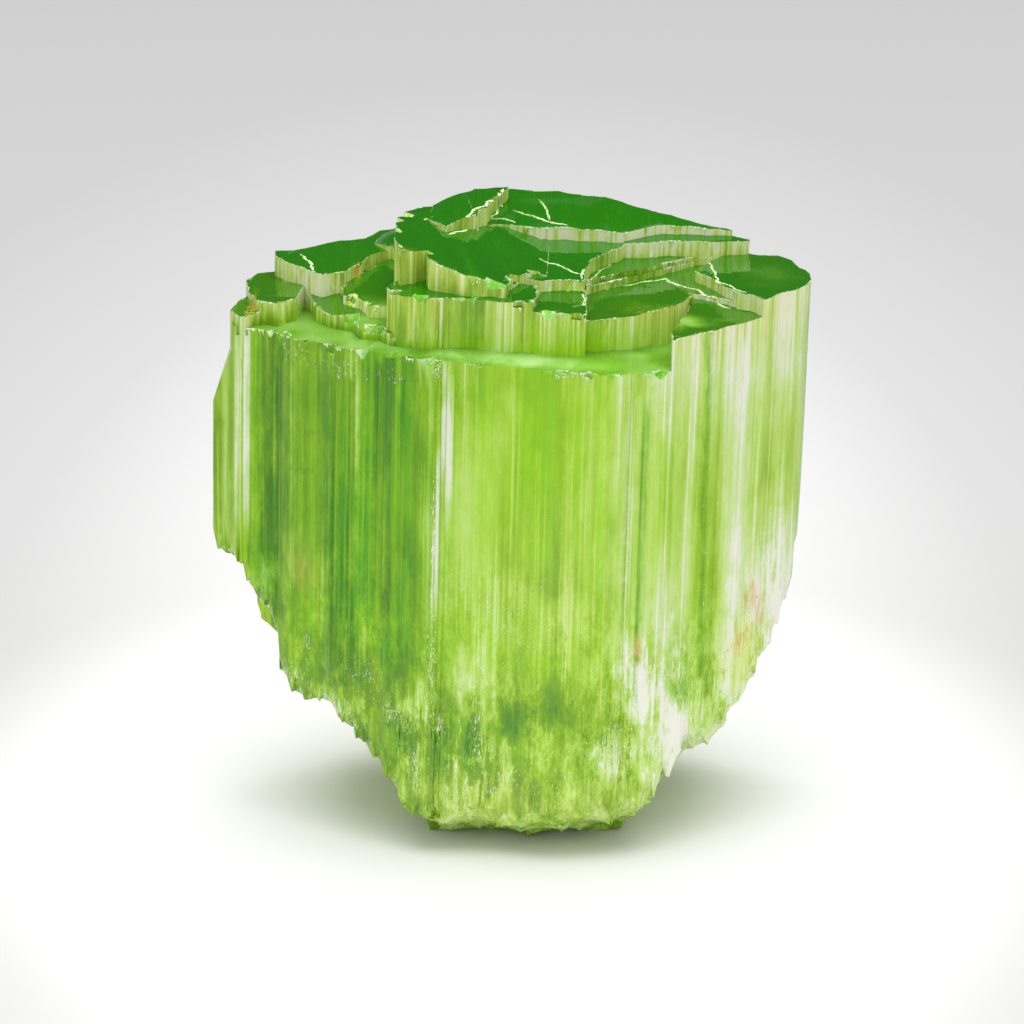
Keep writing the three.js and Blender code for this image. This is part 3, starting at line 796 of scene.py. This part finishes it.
def build_tread_cracks(tree, material):
    flakes = Flakes(seed=62)
    random = flakes.random
    for number, (corners, depth) in enumerate(CRACKS):
        corners = np.array(corners, float)
        lengths = np.linalg.norm(np.diff(corners, axis=0), axis=1)
        total = lengths.sum()
        stations = np.arange(0, total, 0.035)
        ends = np.concatenate([[0], np.cumsum(lengths)])
        path = np.stack([np.interp(stations, ends, corners[:, k]) for k in range(2)], 1)
        heading = np.gradient(path, axis=0)
        heading /= np.linalg.norm(heading, axis=1, keepdims=True) + 1e-12
        level = np.column_stack([stations, np.full(len(stations), number * 7.3),
                                 np.zeros(len(stations))])
        path += heading[:, ::-1] * (1, -1) * (0.16 * noise3(level, 0.9, seed=130)
                                              + 0.05 * noise3(level, 0.2, seed=131))[:, None]
        reach = 0.55 + 0.45 * noise3(level, 0.45, seed=132)
        taper = np.minimum(1, np.minimum(stations, total - stations) / 0.5)
        for (x, y), (dx, dy), deep, end in zip(path, heading, reach, taper):
            hit, normal, _, _ = tree.ray_cast(Vector((x * MM, y * MM, 0.05)), Vector((0, 0, -1)))
            if hit is None or normal.z < 0.7:
                continue
            drop = depth * deep * end * random.uniform(0.15, 1.0)
            width = 0.06 + 0.08 * random.random()
            top = hit.z / MM + 0.02
            heading_3d, beside = np.array((dx, dy, 0.0)), np.array((dy, -dx, 0.0))
            side = beside * random.normal(0, 0.03)
            # The open edge, a low chip in the tread, then the crack's face below it
            wide = (0.06 + 0.16 * random.random() ** 1.5) * end
            flakes.add(np.array((x, y, top - 0.03)) + side, np.array((0, 0, 0.05)),
                       heading_3d * width, beside * wide, top)
            flakes.add(np.array((x, y, top - 0.36 * drop)) + side, np.array((0, 0, -0.66 * drop)),
                       -heading_3d * width, beside * (0.03 + 0.05 * random.random()), top)
    return flakes.build("tread_cracks", material)


def rim_edges():
    """Ends of the edges where a tread breaks off into a wall, and the walls' normals."""
    points, triangles = weld(crystal_soup())
    corner = points[triangles]
    normal = np.cross(corner[:, 1] - corner[:, 0], corner[:, 2] - corner[:, 0])
    normal /= np.linalg.norm(normal, axis=1, keepdims=True) + 1e-12
    centre = corner.mean(1)
    owner = {}
    for face, (a, b, c) in enumerate(triangles.tolist()):
        for edge in ((a, b), (b, c), (c, a)):
            owner[edge] = face
    for (a, b), face in owner.items():
        other = owner.get((b, a))
        if other is None or normal[face, 2] < 0.8 or abs(normal[other, 2]) > 0.5:
            continue
        if (centre[other] - points[a]) @ normal[face] < -1e-4:
            yield points[a], points[b], normal[other]


def build_rim_crumbs(tree, material):
    flakes = Flakes(seed=63)
    random = flakes.random
    for start, end, outward in rim_edges():
        length = np.linalg.norm(end - start)
        for step in random.random(random.poisson(length * 13)):
            point = start + (end - start) * step
            crowd = noise3(point[None], 1.7, seed=140)[0] + 0.5 * noise3(point[None], 0.6, seed=141)[0]
            if crowd < -0.25:
                continue
            tall = 0.04 + 0.26 * random.random() ** 3
            wide = 0.04 + 0.07 * random.random()
            centre = point - outward * 0.01 - np.array((0, 0, 0.4 * tall))
            if tree.find_nearest(Vector(centre * MM))[3] > 0.1 * MM:
                continue
            flakes.add(centre, np.array((0, 0, -tall)), unit(start - end) * wide,
                       outward * random.uniform(0.02, 0.05), point[2] + 0.06)
    return flakes.build("rim_crumbs", material)


def build_wall_slivers(tree, name, marks, material, seed):
    """Slivers along the prism, scattered about each mark on the front wall."""
    flakes = Flakes(seed)
    random = flakes.random
    for (x, z), (half_x, half_z), slope, count, length in marks:
        for across, up in random.normal(0, 0.45, (count, 2)):
            at_x = x + across * half_x
            at_z = z + up * half_z + slope * across * half_x
            start = Vector(((at_x + LEAN * at_z) * MM, -0.02, at_z * MM))
            hit, normal, _, _ = tree.ray_cast(start, Vector((0, 1, 0)))
            if hit is None or hit.y > 0 or normal.y > -0.2:
                continue
            outward = np.array(normal)
            side = unit(np.cross(outward, (0, 0, 1)))
            along = unit(np.cross(side, outward)) + slope * random.uniform(0, 1) * side
            size = length * (0.3 + random.random() ** 2)
            width = 0.03 + 0.05 * random.random()
            flakes.add(np.array(hit) / MM - outward * 0.012, along * size, side * width, outward * 0.03)
    return flakes.build(name, material)


def build_iron_flakes(tree, material):
    flakes = Flakes(seed=64)
    random = flakes.random
    for centre, radii, amount in STAINS:
        if amount < 0.6:
            continue
        for _ in range(90):
            point = np.array(centre) + random.normal(0, 0.4, 3) * radii
            if not is_inside(tree, point, 0.03):
                continue
            size = 0.03 + 0.08 * random.random()
            flakes.add(point, np.array((size, 0, 0)), np.array((0, 0, size * 2.2)),
                       np.array((0, 0.012, 0)))
    return flakes.build("iron_flakes", material)


# ---------------------------------------------------------------- materials

def set_ramp(node, stops):
    """Gives a colour ramp node its stops, each a position and a colour."""
    elements = node.color_ramp.elements
    while len(elements) < len(stops):
        elements.new(0.5)
    for element, (position, colour) in zip(elements, stops):
        element.position = position
        element.color = (*colour, 1)


def greys(stops):
    return [(position, (grey, grey, grey)) for position, grey in stops]


class Graph:
    """Short ways to build one material's nodes."""

    def __init__(self, name):
        self.material = bpy.data.materials.new(name)
        self.material.use_nodes = True
        self.nodes = self.material.node_tree.nodes
        self.surface = self.nodes["Principled BSDF"]
        self.output = self.nodes["Material Output"]

    def link(self, source, target):
        self.material.node_tree.links.new(source, target)

    def put(self, value, target):
        """A socket is linked, a plain value is set."""
        if isinstance(value, bpy.types.NodeSocket):
            self.link(value, target)
        else:
            target.default_value = value

    def math(self, operation, a, b=0.0, clamp=False):
        node = self.nodes.new("ShaderNodeMath")
        node.operation, node.use_clamp = operation, clamp
        self.put(a, node.inputs[0])
        self.put(b, node.inputs[1])
        return node.outputs[0]

    def times(self, a, b, clamp=False):
        return self.math("MULTIPLY", a, b, clamp)

    def plus(self, a, b):
        return self.math("ADD", a, b)

    def minus(self, a, b, clamp=False):
        return self.math("SUBTRACT", a, b, clamp)

    def weighted(self, *parts):
        """Sum of noises, each about 0 and times its own weight."""
        total = 0.0
        for socket, weight in parts:
            total = self.plus(total, self.times(self.minus(socket, 0.5), weight))
        return total

    def attribute(self, name):
        node = self.nodes.new("ShaderNodeAttribute")
        node.attribute_name = name
        return node.outputs["Fac"]

    def place(self, stretch, lean=0.0):
        """Object coordinates in mm, with the lean taken out and each axis scaled by stretch."""
        coordinates = self.nodes.new("ShaderNodeTexCoord")
        split = self.nodes.new("ShaderNodeSeparateXYZ")
        self.link(coordinates.outputs["Object"], split.inputs[0])
        upright = self.minus(split.outputs["X"], self.times(split.outputs["Z"], lean))
        join = self.nodes.new("ShaderNodeCombineXYZ")
        for k, socket in enumerate([upright, split.outputs["Y"], split.outputs["Z"]]):
            self.link(self.times(socket, stretch[k] / MM), join.inputs[k])
        return join.outputs[0]

    def noise(self, vector, scale, detail, roughness):
        node = self.nodes.new("ShaderNodeTexNoise")
        self.link(vector, node.inputs["Vector"])
        node.inputs["Scale"].default_value = scale
        node.inputs["Detail"].default_value = detail
        node.inputs["Roughness"].default_value = roughness
        return node.outputs["Fac"]

    def tall_noise(self, squash, scale, detail, roughness):
        """Noise drawn out along the prism: the smaller squash is, the longer its streaks."""
        return self.noise(self.place((1.0, 1.0, squash), LEAN), scale, detail, roughness)

    def span(self, value, low, high, to_low=0.0, to_high=1.0):
        node = self.nodes.new("ShaderNodeMapRange")
        node.interpolation_type = "SMOOTHSTEP"
        self.put(value, node.inputs["Value"])
        for name, number in zip(("From Min", "From Max", "To Min", "To Max"),
                                (low, high, to_low, to_high)):
            node.inputs[name].default_value = number
        return node.outputs["Result"]

    def ramp(self, value, stops):
        node = self.nodes.new("ShaderNodeValToRGB")
        self.put(value, node.inputs["Fac"])
        set_ramp(node, stops)
        return node.outputs["Color"]

    def mix(self, factor, a, b, blend="MIX"):
        node = self.nodes.new("ShaderNodeMix")
        node.data_type, node.blend_type = "RGBA", blend
        self.put(factor, node.inputs[0])
        for value, target in ((a, node.inputs[6]), (b, node.inputs[7])):
            self.put((*value, 1) if isinstance(value, tuple) and len(value) == 3 else value, target)
        return node.outputs[2]


def milkiness(g, streaks, fine, cloud, speck, mottle):
    """How milky each place is, with the painted sheen and highlights that the milk holds, and the noise
    that breaks up the zones.
    """
    tread, low, veins, zone = map(g.attribute, ("tread", "low", "veins", "milk_and_sheen"))

    # The zones, broken up by streaks and clouds, less so where they are milkiest
    grain = g.weighted((streaks, 0.80), (fine, 0.35))
    grain = g.times(grain, g.minus(1.0, g.times(low, 0.65)))
    patches = g.times(g.weighted((mottle, 3.2)), lower_part(g))
    wobble = g.plus(g.plus(grain, g.weighted((cloud, 0.55))), patches)
    splinters = g.times(g.weighted((fine, 1.0), (streaks, 0.6)), g.attribute("riser"))
    reach = g.minus(0.85, g.times(zone, 0.30))
    reach = g.times(reach, g.minus(1.0, g.times(tread, 0.85)))
    milk_and_sheen = g.plus(g.plus(zone, 0.05), g.times(wobble, reach))
    milk_and_sheen = g.plus(milk_and_sheen, splinters)

    # then thin pale lines along the prism
    lines = g.times(g.span(fine, 0.60, 0.68), g.minus(0.16, tread))
    milk_and_sheen = g.plus(milk_and_sheen, g.math("MAXIMUM", lines, 0.0))

    # and, in the crackled zones, flecks, veins and clearer gaps
    flecks = g.times(g.span(speck, 0.56, 0.72), 0.32)
    ridge = g.math("ABSOLUTE", g.minus(mottle, 0.5))
    vein = g.plus(flecks, g.span(ridge, 0.018, 0.0, 0.0, 0.45))
    milk_and_sheen = g.plus(milk_and_sheen, g.times(vein, veins))
    gaps = g.times(g.span(fine, 0.50, 0.40, 0.0, 0.32), veins)
    return g.minus(milk_and_sheen, gaps, clamp=True), wobble


def lower_part(g):
    """How much the mottling shows: fully low down, a little higher up."""
    return g.plus(0.22, g.times(g.attribute("low"), 0.78))


def crystal_colour(g, milk_and_sheen, wobble, fine, mottle, tread):
    """The colour from the milk, yellower and darker where the zones say so; the yellow holds painted
    glow, the milk painted sheen and highlights.
    """
    lime_and_glow = g.attribute("lime_and_glow")
    wall = g.ramp(milk_and_sheen, WALL_TONES)
    wall = g.mix(g.times(lime_and_glow, 0.7), wall, LIME_WALL)
    wall = g.mix(g.times(g.attribute("riser"), 0.35), wall, RISER_YELLOW)
    yellow = g.times(lime_and_glow, g.minus(1.0, milk_and_sheen))
    top = g.mix(yellow, g.ramp(milk_and_sheen, TREAD_TONES), LIME_TREAD)
    colour = g.mix(tread, wall, top)
    shade = g.times(g.attribute("shade"), g.span(fine, 0.15, 0.55))
    swing = g.minus(1.0, g.times(wobble, 2.6))
    shade = g.times(shade, swing, clamp=True)
    # Darker green patches in the mottling, most in the lower part, none on the treads
    dark_mottle = g.times(g.span(mottle, 0.47, 0.34, 0.0, 0.34), lower_part(g))
    dark_mottle = g.times(dark_mottle, g.minus(1.0, tread))
    return g.mix(g.math("MAXIMUM", shade, dark_mottle), colour, SHADE_GREEN)


def crystal_material():
    g = Graph("tremolite")
    streaks = g.tall_noise(0.035, 1.3, 2.0, 0.6)
    fine = g.tall_noise(0.012, 5.0, 1.0, 0.6)
    cloud = g.tall_noise(0.45, 0.6, 4.0, 0.62)
    speck = g.tall_noise(0.2, 3.2, 1.0, 0.6)
    mottle = g.tall_noise(0.42, 0.75, 6.0, 0.78)
    tread = g.attribute("tread")
    milk_and_sheen, wobble = milkiness(g, streaks, fine, cloud, speck, mottle)
    stain = g.times(g.attribute("stain"), g.span(speck, 0.3, 0.6))
    colour = crystal_colour(g, milk_and_sheen, wobble, fine, mottle, tread)
    g.link(g.mix(stain, colour, IRON_BROWN), g.surface.inputs["Base Color"])

    clear = g.plus(g.span(milk_and_sheen, 0.05, 0.80, 0.60, 0.05), g.times(tread, 0.20))
    clear = g.times(clear, g.minus(1.0, g.times(stain, 0.8)))
    g.link(clear, g.surface.inputs["Transmission Weight"])
    off_tread = g.minus(1.0, g.times(tread, 0.8))
    rough = g.plus(g.times(g.attribute("frost"), 0.08),
                   g.times(g.span(streaks, 0.35, 0.75, 0.10, 0.26), off_tread))
    g.link(rough, g.surface.inputs["Roughness"])
    g.surface.inputs["IOR"].default_value = INDEX_OF_REFRACTION
    g.surface.inputs["Specular IOR Level"].default_value = 0.08

    bump = g.nodes.new("ShaderNodeBump")
    bump.inputs["Strength"].default_value = 0.2
    bump.inputs["Distance"].default_value = 0.04 * MM
    hair = g.tall_noise(0.006, 7.0, 0.0, 0.5)
    g.link(g.times(hair, off_tread), bump.inputs["Height"])
    g.link(bump.outputs["Normal"], g.surface.inputs["Normal"])

    absorb = g.nodes.new("ShaderNodeVolumeAbsorption")
    absorb.inputs["Color"].default_value = (*ABSORPTION, 1)
    absorb.inputs["Density"].default_value = ABSORPTION_DENSITY
    g.link(absorb.outputs["Volume"], g.output.inputs["Volume"])
    return g.material


def flake_material(name):
    """Broken faces in several shades; metallic stands for the sheen of an inner crack."""
    dark, light, metallic, roughness = LOOKS[name]
    g = Graph(name)
    shades = g.noise(g.place((1, 1, 1)), 2.3, 2.0, 0.6)
    g.link(g.mix(g.span(shades, 0.3, 0.7), dark, light), g.surface.inputs["Base Color"])
    g.surface.inputs["Metallic"].default_value = metallic
    g.link(g.span(shades, 0.3, 0.7, roughness - 0.1, roughness + 0.1),
           g.surface.inputs["Roughness"])
    return g.material


def floor_material():
    """Pale floor, greyer to the left and right of the crystal as a painted falloff of light, painted
    light near its foot, and pale again far off.
    """
    g = Graph("floor")
    across = g.nodes.new("ShaderNodeSeparateXYZ")
    g.link(g.place((1.0, 1.0, 0.0)), across.inputs[0])
    depth = g.minus(g.math("ABSOLUTE", across.outputs["Y"]), FLOOR_DEPTH)
    depth = g.times(g.math("MAXIMUM", depth, 0.0), 0.4)
    squares = g.plus(g.math("POWER", across.outputs["X"], 2.0), g.math("POWER", depth, 2.0))
    # Painted falloff of light: greyer away from the crystal, to the sides and far in front and behind
    near = g.ramp(g.math("DIVIDE", g.math("SQRT", squares), FLOOR_REACH), greys(FLOOR_PAINTED_FALLOFF))
    radius = g.nodes.new("ShaderNodeVectorMath")
    radius.operation = "LENGTH"
    g.link(g.place((1.0, 1.0, 0.0)), radius.inputs[0])
    # Painted light near the crystal's foot, where it pales the crystal's shadow
    near = g.mix(g.span(radius.outputs["Value"], *FOOT_PAINTED_LIGHT), near, PALE_FLOOR)
    colour = g.mix(g.span(radius.outputs["Value"], *FLOOR_FAR), near, PALE_FLOOR)
    g.link(colour, g.surface.inputs["Base Color"])
    g.surface.inputs["Roughness"].default_value = 0.7
    g.surface.inputs["Specular IOR Level"].default_value = 0.2
    return g.material


# ---------------------------------------------------------------- scene

crystal = build_crystal()
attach(crystal, "root")
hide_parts(NODE)
crystal.data.materials.append(crystal_material())

tree = BVHTree.FromPolygons([v.co for v in crystal.data.vertices],
                            [list(p.vertices) for p in crystal.data.polygons])
build_veils(tree, flake_material("veil"))
build_tread_cracks(tree, flake_material("crack"))
build_rim_crumbs(tree, flake_material("crumb"))
build_iron_flakes(tree, flake_material("iron"))
for look, marks, seed in (("pale", PALE_SLIVERS, 65), ("bright", BRIGHT_SLIVERS, 66),
                          ("dark", DARK_SLIVERS, 67), ("rust", RUST_SLIVERS, 68)):
    build_wall_slivers(tree, look + "_slivers", marks, flake_material(look), seed)

bpy.ops.mesh.primitive_plane_add(size=FLOOR_SIZE, location=(0, 0, -FLOOR_GAP))
floor = bpy.context.object
floor.name = "floor"
floor.data.materials.append(floor_material())


def light_from_above():
    """One wide, soft lamp straight over the crystal."""
    light = bpy.data.lights.new("overhead", "AREA")
    light.shape = "SQUARE"
    light.size = LAMP_SIZE
    light.energy = LAMP_POWER
    add_object("overhead", light).location = (0, 0, LAMP_HEIGHT)


def studio_world():
    """Soft light from everywhere, but for a dark band low in the sky behind the crystal."""
    world = bpy.data.worlds.new("studio")
    bpy.context.scene.world = world
    world.use_nodes = True
    nodes, links = world.node_tree.nodes, world.node_tree.links
    coordinates = nodes.new("ShaderNodeTexCoord")
    split = nodes.new("ShaderNodeSeparateXYZ")
    links.new(coordinates.outputs["Generated"], split.inputs[0])

    def ramp(socket, stops):
        node = nodes.new("ShaderNodeValToRGB")
        links.new(socket, node.inputs["Fac"])
        set_ramp(node, greys(stops))
        return node.outputs["Color"]

    behind = ramp(split.outputs["Y"], SKY_BEHIND)
    band = ramp(split.outputs["Z"], SKY_BAND)
    around = ramp(split.outputs["Z"], SKY_AROUND)
    mix = nodes.new("ShaderNodeMix")
    mix.data_type = "RGBA"
    links.new(behind, mix.inputs[0])
    links.new(around, mix.inputs[6])
    links.new(band, mix.inputs[7])
    links.new(mix.outputs[2], nodes["Background"].inputs["Color"])


light_from_above()
studio_world()

camera_data = bpy.data.cameras.new("camera")
camera_data.lens = CAMERA_LENS
camera_data.sensor_width = 36
camera_data.clip_start, camera_data.clip_end = 0.01, 40
camera = add_object("camera", camera_data)
back, up = -math.cos(CAMERA_ELEVATION), math.sin(CAMERA_ELEVATION)
camera.location = Vector(CAMERA_TARGET) + CAMERA_DISTANCE * Vector((0, back, up))
camera.rotation_euler = (math.pi / 2 - CAMERA_ELEVATION, 0, 0)
bpy.context.scene.camera = camera

scene = bpy.context.scene
scene.view_settings.view_transform = "Standard"
scene.cycles.use_denoising = True
scene.cycles.max_bounces = 9
scene.cycles.transmission_bounces = 9
scene.cycles.glossy_bounces = 6
scene.cycles.diffuse_bounces = 2
scene.cycles.caustics_refractive = False
